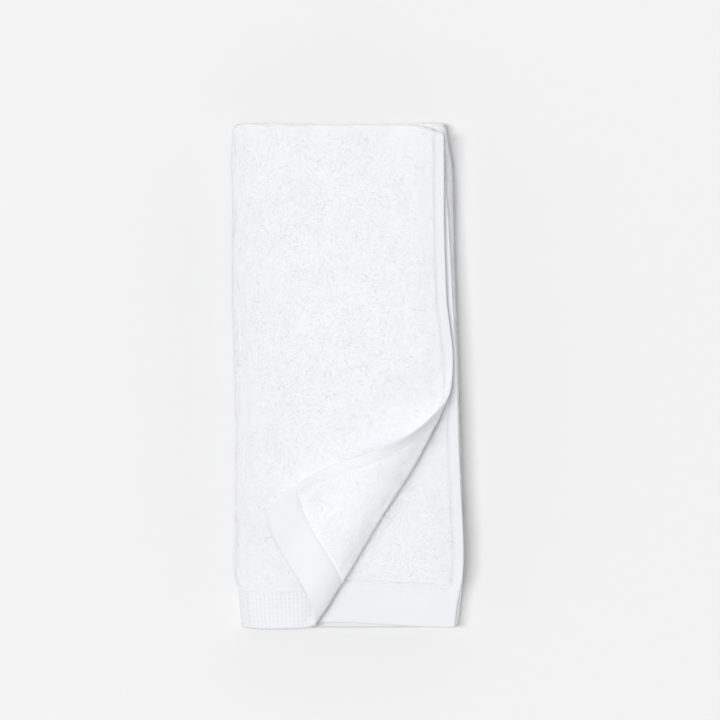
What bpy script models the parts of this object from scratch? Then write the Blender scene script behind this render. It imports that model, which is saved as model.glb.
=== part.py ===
"""A cotton terry hand towel, folded in half and then in thirds, with one corner turned back.

The cloth is one sheet. Across its width, s runs from the side hem that ends up inside the
stack to the side hem that ends up on top. Along its length, t runs from one end hem, over the
crosswise fold, to the other end hem. Layer B is the inner half of the doubled cloth and layer
A the outer half, whose face side is seen. Units are metres, +Z is up, +Y is the long way.
"""
import bpy
import numpy as np

# Cloth
LOFT = 0.0040              # thickness of the terry with its pile
FLAT_WEAVE = 0.0021        # thickness of the hems and the end borders
PITCH = 0.0050             # height of one layer in the stack
BORDER_PITCH = 0.0041      # the same where the thin end borders lie
BORDER = 0.0335            # length of a flat woven end border
SIDE_HEM = 0.0080          # width of a side hem
EDGE_EASE = 0.0040         # half the length over which terry gives way to flat weave

# Flat cloth, as its stretches lie in the folds
P1 = 0.148                 # inner panel
RIGHT_TURN = 0.017         # cloth in the right fold
P2 = 0.1535                # bottom panel
LEFT_TURN = 0.028          # cloth in the left fold
P3 = 0.1535                # top panel
PANELS = (P1, RIGHT_TURN, P2, LEFT_TURN, P3)
WIDTH = sum(PANELS)
HALF = 0.3765              # from an end hem to the crosswise fold
CROSS_TURN = 0.009         # cloth in the crosswise fold
LENGTH = 2 * HALF + CROSS_TURN

# Folded outline
LOW_END = -0.1885          # where the lower panels' end hems lie
HIGH_END = 0.1865          # about where the crosswise fold begins
END_WANDER = 0.0012        # how far the lower end hems wander
HEM_DROOP = 0.0012         # how far the free side hems sink
LEFT_ROUND = 1.02          # radius of the left fold's soft corners, as a share of the pitch
RIGHT_ROUND = 0.94         # the same for the right fold
INNER_END = 0.0050         # from the left fold's middle to the hem inside it

# Unevenness down the length: the outermost point of each side fold, and the side hem of the
# top layer and of the layer under it as they lie before the corner is turned back.
#        y        left fold  right fold  top hem  under hem
ROWS = (
    (0.1900, -0.0862, 0.0740, 0.0726, 0.0700),
    (0.1620, -0.0878, 0.0795, 0.0728, 0.0715),
    (0.1320, -0.0864, 0.0807, 0.0728, 0.0758),
    (0.1020, -0.0864, 0.0808, 0.0732, 0.0775),
    (0.0570, -0.0868, 0.0824, 0.0748, 0.0796),
    (0.0225, -0.0856, 0.0838, 0.0793, 0.0818),
    (-0.0180, -0.0842, 0.0850, 0.0830, 0.0832),
    (-0.0480, -0.0840, 0.0857, 0.0808, 0.0839),
    (-0.0780, -0.0842, 0.0869, 0.0786, 0.0852),
    (-0.1155, -0.0842, 0.0877, 0.0757, 0.0873),
    (-0.1380, -0.0849, 0.0876, 0.0740, 0.0877),
    (-0.1500, -0.0850, 0.0876, 0.0731, 0.0868),
    (-0.1560, -0.0831, 0.0875, 0.0726, 0.0864),
    (-0.1610, -0.0822, 0.0873, 0.0722, 0.0840),
    (-0.1720, -0.0816, 0.0860, 0.0712, 0.0827),
    (-0.1800, -0.0810, 0.0852, 0.0704, 0.0816),
    (-0.1900, -0.0797, 0.0832, 0.0689, 0.0805),
)
# Unevenness across the width: the crosswise fold's crest over the top panel and over the two
# panels below it, and where the end hems of the top layer and of the layer under it lie.
#        x        top crest  low crest  top end   under end
ENDS = (
    (-0.0900, 0.1885, 0.1880, -0.1868, -0.1870),
    (-0.0740, 0.1905, 0.1885, -0.1900, -0.1870),
    (-0.0600, 0.1895, 0.1885, -0.1909, -0.1860),
    (-0.0300, 0.1888, 0.1880, -0.1899, -0.1855),
    (0.0000, 0.1893, 0.1880, -0.1870, -0.1857),
    (0.0250, 0.1894, 0.1885, -0.1845, -0.1871),
    (0.0430, 0.1893, 0.1900, -0.1827, -0.1883),
    (0.0560, 0.1880, 0.1912, -0.1814, -0.1890),
    (0.0740, 0.1826, 0.1905, -0.1800, -0.1897),
    (0.0900, 0.1822, 0.1880, -0.1800, -0.1897),
)

# Turned-back corner of the top layer
CORNER = (-0.0624, -0.0986)        # where the tip of the corner comes to lie
TURN_UP_SIDE = 0.1600              # from the corner up the side hem to the crease
TURN_UP_END = 0.0993               # from the corner along the end hem to the crease
CREASE_BOW = 0.00125               # how far the crease bows towards the corner
SIDE_HEM_BEARING = np.radians(28.8)    # turned side hem, above the level
END_HEM_BEARING = np.radians(24.0)     # turned end hem, off the upright
SIDE_HEM_SWAY = 0.0043             # soft S of the turned side hem
END_HEM_SWAY = 0.0026              # soft S of the turned end hem
# The roll: the cloth lifts a little, bends over, and comes down level on top of the face. It is
# tight at the end hem and loose at the side hem; each spread says how late it opens on the way.
LIFT_SLOPE = np.radians(38.3)      # steepest lift, at the side hem
LIFT_SPREAD = 2.54
LIFT_LENGTH = 0.0160
BEND_TIGHT = 0.0023                # radius of the bend at the end hem
BEND_LOOSE = 0.0105                # radius of the bend at the side hem
BEND_SPREAD = 4
FALL_SLOPE = np.radians(48.0)      # steepness of the turned cloth where it leaves the bend
FALL_TIGHT = 0.0085                # length over which it comes level, at the end hem
FALL_LOOSE = 0.0315                # the same at the side hem
ROLL_PRESSED = 0.60                # how far the loose end is pressed down, as a share
SETTLE = 0.040                     # length over which the turned cloth sinks onto the face
LAY_GAP = 0.0007                   # air left between the turned cloth and the face
SWELL = 0.0030                     # how far the face swells along the turned side hem
SWELL_WIDTH = 0.014

# Soft waves of the top panel's height: size, wave length, bearing and phase of each
WAVES = (
    (0.0005, 0.150, 0.35, 0.4),
    (0.0003, 0.085, 1.20, 2.1),
    (0.0002, 0.055, 2.30, 4.0),
)

TURN_STEPS = 23            # grid steps each way over the corner that is turned back
LEAD_STEPS = 5             # steps of the same size before the crease meets the side hem

COTTON = (0.86, 0.87, 0.90, 1.0)


def spans(*stops):
    """Grid lines from 0: each stop is (value, steps from the stop before it)."""
    lines = [0.0]
    for value, steps in stops:
        start = lines[-1]
        lines += [start + (value - start) * (k + 1) / steps for k in range(steps)]
    return np.array(lines)


def smooth(x, low, high):
    """A soft step: 0 below low, 1 above high, with level ends."""
    k = np.clip((x - low) / (high - low), 0.0, 1.0)
    return k * k * (3.0 - 2.0 * k)


def soft_table(at, table, column):
    """A column of a table read at any place, its corners eased over a few millimetres."""
    rows = np.array(sorted(table))
    ease = 0.004
    shifts = (-1.5, -0.5, 0.5, 1.5)
    return sum(np.interp(at + k * ease, rows[:, 0], rows[:, column]) for k in shifts) / len(shifts)


def roll(past, up):
    """The turned corner's path square to the crease: way out, height, share turned, cloth gone.

    Three arcs follow one another: a gentle lift, the bend over, and a long gentle fall that
    ends level. past is the cloth past the crease and up the way along it, 0 to 1.
    """
    lift = LIFT_SLOPE * up ** LIFT_SPREAD + 0.001
    bend_radius = BEND_TIGHT + (BEND_LOOSE - BEND_TIGHT) * up ** BEND_SPREAD
    fall_length = FALL_TIGHT + (FALL_LOOSE - FALL_TIGHT) * up
    lift_radius, fall_radius = LIFT_LENGTH / lift, fall_length / FALL_SLOPE
    bend_length = bend_radius * (np.pi - lift - FALL_SLOPE)
    whole = LIFT_LENGTH + bend_length + fall_length
    level_shift = (lift_radius - bend_radius) * np.sin(lift)
    level_shift += (bend_radius - fall_radius) * np.sin(FALL_SLOPE)
    before = (whole + level_shift) / 2
    at = past + before
    first = np.clip(at, 0.0, LIFT_LENGTH) / lift_radius
    second = lift + np.clip(at - LIFT_LENGTH, 0.0, bend_length) / bend_radius
    third = FALL_SLOPE - np.clip(at - LIFT_LENGTH - bend_length, 0.0, fall_length) / fall_radius
    gone = np.clip(at - whole, 0.0, None)
    out = np.minimum(past, -before) - gone + lift_radius * np.sin(first)
    out += bend_radius * (np.sin(second) - np.sin(lift))
    out -= fall_radius * (np.sin(FALL_SLOPE) - np.sin(third))
    height = lift_radius * (1 - np.cos(first)) + bend_radius * (np.cos(lift) - np.cos(second))
    height += fall_radius * (np.cos(third) - np.cos(FALL_SLOPE))
    height *= 1 - ROLL_PRESSED * up ** 3
    heading = np.where(at < LIFT_LENGTH, first, second)
    heading = np.where(at < LIFT_LENGTH + bend_length, heading, np.pi - third)
    return out, height, 0.5 * (1 - np.cos(heading)), gone


def turn_back(x, y, side, end):
    """Plan place of the top layer once its corner is turned, with its height and how far.

    side and end are distances from the corner, up the side hem and along the end hem. The
    crease runs between the two turn-up lengths with a slight bow. Away from it the cloth lies
    either where it lay, or on the turned side; between them it follows the roll.
    """
    height = 1.0 / np.hypot(1.0 / TURN_UP_SIDE, 1.0 / TURN_UP_END)
    to_side, to_end = height / TURN_UP_SIDE, height / TURN_UP_END
    past = (1.0 - side / TURN_UP_SIDE - end / TURN_UP_END) * height
    length = np.hypot(TURN_UP_SIDE, TURN_UP_END)
    up = np.clip(1.0 + ((side - TURN_UP_SIDE) * to_end - end * to_side) / length, 0.0, 1.1)
    along = np.clip(up, 0.0, 1.0)
    past = past + CREASE_BOW * 4 * along * (1 - along)
    out, lift, share, gone = roll(past, up)
    # the cloth that stays down, drawn towards the roll
    stay_x = x + to_end * (out - past)
    stay_y = y - to_side * (out - past)
    # the cloth that has gone over
    over_side, over_end = side + to_side * (out + past), end + to_end * (out + past)
    sin_s, cos_s = np.sin(SIDE_HEM_BEARING), np.cos(SIDE_HEM_BEARING)
    sin_e, cos_e = np.sin(END_HEM_BEARING), np.cos(END_HEM_BEARING)
    sway_s = SIDE_HEM_SWAY * np.sin(2 * np.pi * over_side / TURN_UP_SIDE)
    sway_s *= np.clip(1.0 - over_end / TURN_UP_END, 0.0, 1.0)
    sway_e = END_HEM_SWAY * np.sin(2 * np.pi * over_end / TURN_UP_END)
    sway_e *= np.clip(1.0 - over_side / TURN_UP_SIDE, 0.0, 1.0)
    over_x = CORNER[0] + over_side * cos_s + over_end * sin_e - sway_s * sin_s - sway_e * cos_e
    over_y = CORNER[1] + over_side * sin_s - over_end * cos_e + sway_s * cos_s - sway_e * sin_e
    turned_x = stay_x * (1 - share) + over_x * share
    turned_y = stay_y * (1 - share) + over_y * share
    return turned_x, turned_y, lift, gone


def side_hem_swell(x, y):
    """How far the face swells along the turned side hem: a soft ridge that dies at its ends."""
    along = (x - CORNER[0]) * np.cos(SIDE_HEM_BEARING) + (y - CORNER[1]) * np.sin(SIDE_HEM_BEARING)
    off = (y - CORNER[1]) * np.cos(SIDE_HEM_BEARING) - (x - CORNER[0]) * np.sin(SIDE_HEM_BEARING)
    ends = smooth(along, 0.0, 0.050) * (1.0 - smooth(along, 0.110, 0.160))
    return SWELL * ends * np.exp(-(off / SWELL_WIDTH) ** 2)


def waves(x, y):
    """Sum of a few long waves, each along its own bearing, never below 0."""
    total = np.zeros_like(x)
    for size, length, bearing, phase in WAVES:
        along = x * np.cos(bearing) + y * np.sin(bearing)
        total += size * (1 + np.sin(2 * np.pi * along / length + phase))
    return total


def thickness(s, t):
    """Terry in the field, flat weave at the side hems and the two end borders."""
    from_side = np.minimum(s, WIDTH - s)
    from_end = np.minimum(t, LENGTH - t)
    terry = smooth(from_side, 0.6 * SIDE_HEM, 1.5 * SIDE_HEM)
    terry = terry * smooth(from_end, BORDER - EDGE_EASE, BORDER + EDGE_EASE)
    return FLAT_WEAVE + (LOFT - FLAT_WEAVE) * terry


def layer_levels(from_end):
    """Height of the lowest layer's middle, and of one layer, at a distance from the end hems."""
    terry = smooth(from_end, BORDER - EDGE_EASE, BORDER + EDGE_EASE)
    ground = (FLAT_WEAVE + (LOFT - FLAT_WEAVE) * terry) / 2
    pitch = BORDER_PITCH + (PITCH - BORDER_PITCH) * smooth(from_end, 0.4 * BORDER, 1.6 * BORDER)
    return ground, pitch


def side_fold(share, radius, height):
    """A side fold's reach, climb and turn at a share of its cloth.

    Its section is upright, with a round corner at its foot and another at its top.
    """
    upright = height - 2 * radius
    along = share * (np.pi * radius + upright)
    climbed = np.clip(along - np.pi / 2 * radius, 0.0, upright)
    turn = (along - climbed) / radius
    return radius * np.sin(turn), radius * (1 - np.cos(turn)) + climbed, turn


def side_path(s, left, right, hem, ground, pitch):
    """The doubled cloth's path in its cross-section, with its outward direction.

    Five stretches: inner panel, right fold, bottom panel, left fold, top panel. The panels are
    level.
    """
    stops = np.cumsum(PANELS)
    share = [np.clip((s - stop + size) / size, 0.0, 1.0) for stop, size in zip(stops, PANELS)]
    stretch = np.searchsorted(stops[:-1], s, side="left")
    low, middle, high = ground + 0.5 * pitch, ground + 2.5 * pitch, ground + 4.5 * pitch
    inner = left + INNER_END
    reach_r, climb_r, turn_r = side_fold(share[1], RIGHT_ROUND * pitch, 2 * pitch)
    reach_l, climb_l, turn_l = side_fold(share[3], LEFT_ROUND * pitch, 4 * pitch)
    level = np.zeros_like(s)
    x = np.choose(stretch, (
        inner + (right - inner) * share[0],
        right + reach_r,
        right + (left - right) * share[2],
        left - reach_l,
        left + (hem - left) * share[4]))
    z = np.choose(stretch, (
        middle + level,
        middle - climb_r,
        low + level,
        low + climb_l,
        high + level))
    out_x = np.choose(stretch, (level, np.sin(turn_r), level, -np.sin(turn_l), level))
    out_z = np.choose(stretch, (level + 1, np.cos(turn_r), level - 1, -np.cos(turn_l), level + 1))
    return x, z, out_x, out_z, stretch


def cloth(s, t):
    """Mid-surface of the folded cloth for flat places s (across) and t (along).

    The doubled cloth follows the side path; each half is set off from it by half a layer, A
    outwards and B inwards, and the crosswise fold is a half turn from one to the other. The
    top layer's corner is then turned back, and the stack gets its soft unevenness.
    """
    cross = np.pi * (np.clip((t - HALF) / CROSS_TURN, 0.0, 1.0) - 0.5)
    half = np.sin(cross)                       # -1 in B, +1 in A
    in_a = 0.5 * (1 + half)
    from_hem = np.minimum(t, LENGTH - t)
    up = np.clip(from_hem / HALF, 0.0, 1.0)
    ground, pitch = layer_levels(from_hem)

    y = LOW_END + up * (HIGH_END - LOW_END)    # near enough to read the tables
    left = soft_table(y, ROWS, 1) + (LEFT_ROUND + 0.5) * pitch + LOFT / 2
    right = soft_table(y, ROWS, 2) - (RIGHT_ROUND + 0.5) * pitch - LOFT / 2
    hem = soft_table(y, ROWS, 4) * (1 - in_a) + soft_table(y, ROWS, 3) * in_a
    x, z, out_x, out_z, stretch = side_path(s, left, right, hem, ground, pitch)
    x = x + out_x * half * pitch / 2
    z = z + out_z * half * pitch / 2

    on_top = smooth(s, WIDTH - P3 - LEFT_TURN, WIDTH - P3)
    crest = soft_table(x, ENDS, 2) * (1 - on_top) + soft_table(x, ENDS, 1) * on_top
    crest = crest - (PITCH + LOFT) / 2
    top_end = soft_table(x, ENDS, 3) * in_a + soft_table(x, ENDS, 4) * (1 - in_a)
    low_end = LOW_END + END_WANDER * np.cos(2 * np.pi * x / WIDTH + np.pi * in_a)
    end = low_end * (1 - on_top) + top_end * on_top
    y = end + (crest - end) * up + np.cos(cross) * PITCH / 2

    # the top panel's free side hems sink a little, and its upper layer's corner is turned back
    droop = HEM_DROOP * smooth(s, WIDTH - 3 * SIDE_HEM, WIDTH)
    top_layer = (stretch == 4) & (t > HALF + CROSS_TURN)
    turned_x, turned_y, lift, gone = turn_back(x, y, y - end, hem - x)
    face_ground, face_pitch = layer_levels(turned_y - end)
    lay = thickness(s, t) / 2 + LOFT / 2 + LAY_GAP
    sunk = lift + (np.minimum(lay, lift) - lift) * smooth(gone, 0.0, SETTLE)
    turned_z = face_ground + 5 * face_pitch + sunk + side_hem_swell(turned_x, turned_y)
    turned_z = turned_z - droop * (1 - smooth(lift, 0.0, 2 * HEM_DROOP))
    x = np.where(top_layer, turned_x, x)
    y = np.where(top_layer, turned_y, y)
    z = np.where(top_layer, turned_z, z - droop)
    return x, y, z + waves(x, y) * on_top * smooth(z, 2.5 * pitch, 4.5 * pitch)


def make_towel(collection):
    """The cloth as a grid carried through its folds, then given its thickness."""
    stops = np.cumsum(PANELS)
    s_lines = spans((SIDE_HEM, 1), (stops[0], 5), (stops[1], 7), (stops[1] + SIDE_HEM, 1),
                    (stops[2] - SIDE_HEM, 5), (stops[2], 1), (stops[3], 11),
                    (WIDTH - TURN_UP_END, 3), (WIDTH, TURN_STEPS))
    t_lines = spans((BORDER - EDGE_EASE, 2), (BORDER + EDGE_EASE, 1), (HALF, 7),
                    (HALF + CROSS_TURN, 6), (LENGTH - TURN_UP_SIDE * (1 + LEAD_STEPS / TURN_STEPS), 4),
                    (LENGTH, TURN_STEPS + LEAD_STEPS))
    across, along = len(s_lines), len(t_lines)
    s, t = np.meshgrid(s_lines, t_lines)
    x, y, z = cloth(s.ravel(), t.ravel())

    bpy.ops.mesh.primitive_grid_add(x_subdivisions=across - 1, y_subdivisions=along - 1, size=2)
    towel = bpy.context.object
    towel.name = "towel"
    towel.data.name = "towel"
    flat = np.empty(across * along * 3)
    towel.data.vertices.foreach_get("co", flat)
    flat = flat.reshape(-1, 3)
    column = np.rint((flat[:, 0] + 1) / 2 * (across - 1)).astype(int)
    row = np.rint((flat[:, 1] + 1) / 2 * (along - 1)).astype(int)
    place = row * across + column
    folded = np.stack([x[place], y[place], z[place]], axis=1)
    towel.data.vertices.foreach_set("co", folded.ravel())
    towel.data.update()

    loft = towel.vertex_groups.new(name="loft")
    share = thickness(s.ravel(), t.ravel())[place] / LOFT
    for index, weight in enumerate(share):
        loft.add([index], float(weight), "REPLACE")

    split = towel.modifiers.new("split along the crease", "TRIANGULATE")
    split.quad_method = "FIXED_ALTERNATE"
    thick = towel.modifiers.new("thickness", "SOLIDIFY")
    thick.thickness = LOFT
    thick.offset = 0.0
    thick.vertex_group = loft.name
    towel.data.shade_smooth()
    for other in list(towel.users_collection):
        other.objects.unlink(towel)
    collection.objects.link(towel)
    return towel


def cotton():
    """White cotton with a faint blue cast."""
    material = bpy.data.materials.new("white cotton terry")
    material.use_nodes = True
    shader = material.node_tree.nodes["Principled BSDF"]
    shader.inputs["Base Color"].default_value = COTTON
    shader.inputs["Roughness"].default_value = 0.95
    shader.inputs["Metallic"].default_value = 0.0
    return material


def main():
    for old in list(bpy.data.objects):
        bpy.data.objects.remove(old)
    collection = bpy.data.collections.new("hand towel")
    bpy.context.scene.collection.children.link(collection)
    towel = make_towel(collection)
    towel.data.materials.append(cotton())


main()
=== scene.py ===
"""The looks of a folded cotton hand towel: woven ground, terry loops, waffle borders and hems.

The cloth is one sheet. s runs across its width, from the side hem inside the stack to the side
hem on top; t runs along its length, from the end hem of layer B, over the crosswise fold, to
the end hem of layer A. Layer A is the outer half, whose face side shows. Units are metres.
"""

import bpy
import numpy as np
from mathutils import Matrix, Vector


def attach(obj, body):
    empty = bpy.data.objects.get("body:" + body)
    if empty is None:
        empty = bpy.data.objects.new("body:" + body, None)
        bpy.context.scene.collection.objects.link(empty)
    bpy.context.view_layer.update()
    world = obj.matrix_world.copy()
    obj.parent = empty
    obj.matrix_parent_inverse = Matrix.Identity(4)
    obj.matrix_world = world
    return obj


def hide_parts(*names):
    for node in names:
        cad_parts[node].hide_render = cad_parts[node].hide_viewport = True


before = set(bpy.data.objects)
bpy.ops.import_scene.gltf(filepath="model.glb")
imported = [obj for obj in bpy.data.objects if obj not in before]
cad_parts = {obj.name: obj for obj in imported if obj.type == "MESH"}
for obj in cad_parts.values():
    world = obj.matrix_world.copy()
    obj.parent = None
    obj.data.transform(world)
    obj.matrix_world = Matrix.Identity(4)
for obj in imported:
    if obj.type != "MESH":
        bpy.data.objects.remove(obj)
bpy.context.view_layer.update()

BODY = "root"
NODE = "towel"

# Cloth
LOFT = 0.0040  # thickness of the terry with its pile
FLAT_WEAVE = 0.0021  # thickness of the hems and the end borders
PITCH = 0.0050  # height of one layer in the stack
BORDER_PITCH = 0.0041  # the same where the thin end borders lie
BORDER = 0.0335  # length of a flat woven end border
SIDE_HEM = 0.0080  # width of a side hem
# From a side or an end: where flat weave gives way to terry, and the thin layers to thick ones
SIDE_EASE = (0.6 * SIDE_HEM, 1.5 * SIDE_HEM)
END_EASE = (BORDER - 0.0040, BORDER + 0.0040)
PITCH_EASE = (0.4 * BORDER, 1.6 * BORDER)

# Flat cloth, as its stretches lie in the folds
P1 = 0.148  # inner panel
RIGHT_TURN = 0.017  # cloth in the right fold
P2 = 0.1535  # bottom panel
LEFT_TURN = 0.028  # cloth in the left fold
P3 = 0.1535  # top panel
PANELS = (P1, RIGHT_TURN, P2, LEFT_TURN, P3)
WIDTH = sum(PANELS)
HALF = 0.3765  # from an end hem to the crosswise fold
CROSS_TURN = 0.009  # cloth in the crosswise fold
LENGTH = 2 * HALF + CROSS_TURN
CROSS_MIDDLE = HALF + CROSS_TURN / 2

# Folded outline
LOW_END = -0.1885  # where the lower panels' end hems lie
HIGH_END = 0.1865  # about where the crosswise fold begins
END_WANDER = 0.0012  # how far the lower end hems wander
HEM_DROOP = 0.0012  # how far the free side hems sink
LEFT_ROUND = 1.02  # radius of the left fold's soft corners, as a share of the pitch
RIGHT_ROUND = 0.94  # the same for the right fold
INNER_END = 0.0050  # from the left fold's middle to the hem inside it
LEFT_OPENS = (-1.4 * LEFT_TURN, -LEFT_TURN)  # from the top panel: where the left fold begins
LEFT_CLOSES = (-0.005, 0.003)  # and where it ends
TABLE_EASE = 0.004  # how far apart the readings are that soften a table's corners

# Unevenness down the length: the outermost point of each side fold, and the side hem of the
# top layer and of the layer under it as they lie before the corner is turned back.
#        y        left fold  right fold  top hem  under hem
ROWS = (
    (0.1900, -0.0862, 0.0740, 0.0726, 0.0700),
    (0.1620, -0.0878, 0.0795, 0.0728, 0.0715),
    (0.1320, -0.0864, 0.0807, 0.0728, 0.0758),
    (0.1020, -0.0864, 0.0808, 0.0732, 0.0775),
    (0.0570, -0.0868, 0.0824, 0.0748, 0.0796),
    (0.0225, -0.0856, 0.0838, 0.0793, 0.0818),
    (-0.0180, -0.0842, 0.0850, 0.0830, 0.0832),
    (-0.0480, -0.0840, 0.0857, 0.0808, 0.0839),
    (-0.0780, -0.0842, 0.0869, 0.0786, 0.0852),
    (-0.1155, -0.0842, 0.0877, 0.0757, 0.0873),
    (-0.1380, -0.0849, 0.0876, 0.0740, 0.0877),
    (-0.1500, -0.0850, 0.0876, 0.0731, 0.0868),
    (-0.1560, -0.0831, 0.0875, 0.0726, 0.0864),
    (-0.1610, -0.0822, 0.0873, 0.0722, 0.0840),
    (-0.1720, -0.0816, 0.0860, 0.0712, 0.0827),
    (-0.1800, -0.0810, 0.0852, 0.0704, 0.0816),
    (-0.1900, -0.0797, 0.0832, 0.0689, 0.0805),
)
# Unevenness across the width: the crosswise fold's crest over the top panel and over the two
# panels below it, and where the end hems of the top layer and of the layer under it lie.
#        x        top crest  low crest  top end   under end
ENDS = (
    (-0.0900, 0.1885, 0.1880, -0.1868, -0.1870),
    (-0.0740, 0.1905, 0.1885, -0.1900, -0.1870),
    (-0.0600, 0.1895, 0.1885, -0.1909, -0.1860),
    (-0.0300, 0.1888, 0.1880, -0.1899, -0.1855),
    (0.0000, 0.1893, 0.1880, -0.1870, -0.1857),
    (0.0250, 0.1894, 0.1885, -0.1845, -0.1871),
    (0.0430, 0.1893, 0.1900, -0.1827, -0.1883),
    (0.0560, 0.1880, 0.1912, -0.1814, -0.1890),
    (0.0740, 0.1826, 0.1905, -0.1800, -0.1897),
    (0.0900, 0.1822, 0.1880, -0.1800, -0.1897),
)

# Turned-back corner of the top layer
CORNER = (-0.0624, -0.0986)  # where the tip of the corner comes to lie
TURN_UP_SIDE = 0.1600  # from the corner up the side hem to the crease
TURN_UP_END = 0.0993  # from the corner along the end hem to the crease
CREASE_BOW = 0.00125  # how far the crease bows towards the corner
SIDE_HEM_BEARING = np.radians(28.8)  # turned side hem, above the level
END_HEM_BEARING = np.radians(24.0)  # turned end hem, off the upright
SIN_S, COS_S = np.sin(SIDE_HEM_BEARING), np.cos(SIDE_HEM_BEARING)
SIN_E, COS_E = np.sin(END_HEM_BEARING), np.cos(END_HEM_BEARING)
SIDE_HEM_SWAY = 0.0043  # soft S of the turned side hem
END_HEM_SWAY = 0.0026  # soft S of the turned end hem
# The roll lifts a little, bends over, and comes down level on top of the face. It is tight at
# the end hem and loose at the side hem; each spread says how late it opens on the way.
LIFT_SLOPE = np.radians(38.3)  # steepest lift, at the side hem
LIFT_SPREAD = 2.54
LEAST_LIFT = 0.001  # at the end hem, so that its radius is never endless
LIFT_LENGTH = 0.0160
BEND_TIGHT = 0.0023  # radius of the bend at the end hem
BEND_LOOSE = 0.0105  # radius of the bend at the side hem
BEND_SPREAD = 4
FALL_SLOPE = np.radians(48.0)  # steepness of the turned cloth where it leaves the bend
FALL_TIGHT = 0.0085  # length over which it comes level, at the end hem
FALL_LOOSE = 0.0315  # the same at the side hem
ROLL_PRESSED = 0.60  # how far the loose end is pressed down, as a share
SETTLE = 0.040  # length over which the turned cloth sinks onto the face
LAY_GAP = 0.0007  # air left between the turned cloth and the face
SWELL = 0.0030  # how far the face swells along the turned side hem
SWELL_WIDTH = 0.014
SWELL_RISE, SWELL_FALL = (0.0, 0.050), (0.110, 0.160)  # along the hem from the corner
BESIDE_RISE = 0.0040  # how far the bared layer rises against the roll beside it
BESIDE_WIDTH = (0.0030, 0.0070)  # towards the roll and away from it
BESIDE_BEGINS, BESIDE_ENDS = (0.0, 0.40), (0.88, 1.0)  # shares of the way up along the roll
HEM_CURL = 0.0062  # how far the turned side hem curls up where it comes out of the roll
CURL_WIDTH = 0.0120
CURL_RISE = (0.068, 0.142)  # from the corner up the side hem: where it curls

# Soft waves of the top panel's height: size, wave length, bearing and phase of each
WAVES = (
    (0.0005, 0.150, 0.35, 0.4),
    (0.0003, 0.085, 1.20, 2.1),
    (0.0002, 0.055, 2.30, 4.0),
)

# Woven ground, hems and borders, each as the distance from the sheet's middle to its surface
TERRY_GROUND = 0.00165  # under standing loops
PRESSED = 0.00195  # loops pressed flat between layers or on what carries the towel
HEM_HALF = FLAT_WEAVE / 2
STRIP = 0.00062  # single flat weave between the end hem and the terry
UNDER_WAFFLE = 0.00040  # below the waffle relief
EDGE_ROUND = 0.0010  # radius of a turned edge
EDGE_RIM = 0.00012
TOP_BORDER = 0.0302  # from the end hem to the terry, on layer A
UNDER_BORDER = 0.0330  # the same on layer B
END_HEM_INSIDE = 0.0015  # from the end hem's inner edge to the terry, on the reverse
SIDE_STITCH = 0.0066  # from a side edge to its row of stitches
END_STITCH_INSIDE = 0.0025  # from the end hem's row of stitches to the terry
STITCH_SINK = 0.00014  # how deep a row of stitches draws the hem in
STITCH_GROOVE = 0.00050  # how wide
HEM_CROWN = 0.00008  # how far a side hem swells along its middle
HEM_STEP = 0.0010  # length of the step from a hem to the terry
LUMP, LUMP_CELL, LUMP_SINK = 0.00008, 0.0034, 0.00010  # unevenness of the terry's ground

# Waffle weave on the face side of the end borders
WAFFLE = (0.0016, 0.0286)  # from the end edge, where the cells begin and end
WAFFLE_ROWS = 8
CELL_ALONG = (WAFFLE[1] - WAFFLE[0]) / WAFFLE_ROWS
CELL_ACROSS = 0.00325
RIDGE = 0.00140  # height of a cell's ridges above the sheet's middle
PIT = 0.00108  # height of its floor
PIT_PAINTED_SHADE = 0.18  # painted shade: how much duller a cell's floor is
FOLD_DEEPER = 0.00045  # how much deeper the floors are round the left fold
PIT_POWER = 0.4  # below 1: steep walls and a flat floor
WAFFLE_RIM = 0.22  # share of a cell over which the relief rises at the border's edges
RIM_LOW = 0.25  # its height there, as a share
WAFFLE_LAP = 0.0002  # how far the cloth's flat bed stops short of the relief's edges
WAFFLE_BACK = 0.00010  # height of the relief's hidden back
WAFFLE_NOISE = ((0.00004, 0.0016, 31), (0.00005, 0.009, 32))  # sizes, cells and seeds
WAFFLE_BACK_LINES = 5
WAFFLE_FROM = P1 - 0.004  # the relief begins out of sight, beside the right fold,
WAFFLE_TO = WIDTH - TURN_UP_END + 0.016  # and ends inside the roll
# Its stretches: piece, from s, to s, and samples in each cell
WAFFLE_PIECES = (
    ("waffle_border_top", P1 + RIGHT_TURN + P2, WAFFLE_TO, 8),
    ("waffle_border_under", WAFFLE_FROM, P1 + RIGHT_TURN + P2, 5),
)

# Terry loops. Each stray is drawn anew for every loop.
LOOP_SPACING = 0.00132
LOOP_MARGINS = (0.0009, 0.0008, 0.0006, 0.0005)  # inside the hems and borders: s, s, t, t
LOOP_STRAY = 0.30  # from the lattice of places, as a share of the spacing
LOOP_ROOT = 0.0006  # how deep a loop's feet sit in the ground
LOOP_REACH = 0.00205  # from the sheet's middle to a loop's top
REACH_STRAY = (-0.00014, 0.00008)
CLUMP_REACH = 0.00009  # how far the loops of a clump stand out
BESIDE_REACH = 0.0006  # how much further they stand out beside the roll
LOOP_YARN = 0.00033  # radius of the yarn
YARN_STRAY = (0.85, 1.15)  # shares of it
LOOP_SPAN = 0.00125  # from foot to foot
SPAN_STRAY = (0.75, 1.25)  # shares of it
FOOT, SHOULDER = 0.90, 0.55  # from a loop's middle, as shares of half its span
LOOP_LEAN = (0.0001, 0.00042)  # how far a loop's top leans over
LOOP_TILT = 0.00022  # how far its shoulders stand apart in height
FLOOR_CLEAR = 0.00015  # lowest point of any loop
SHOWN_DRAW = (0.05, 0.95)  # a loop stands where the share that shows is above a draw from here
COVERED = 0.009  # loops that the turned corner covers by more than this are left out
GONE_PAST = 0.030  # and the corner's own face loops further than this past the crease
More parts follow.
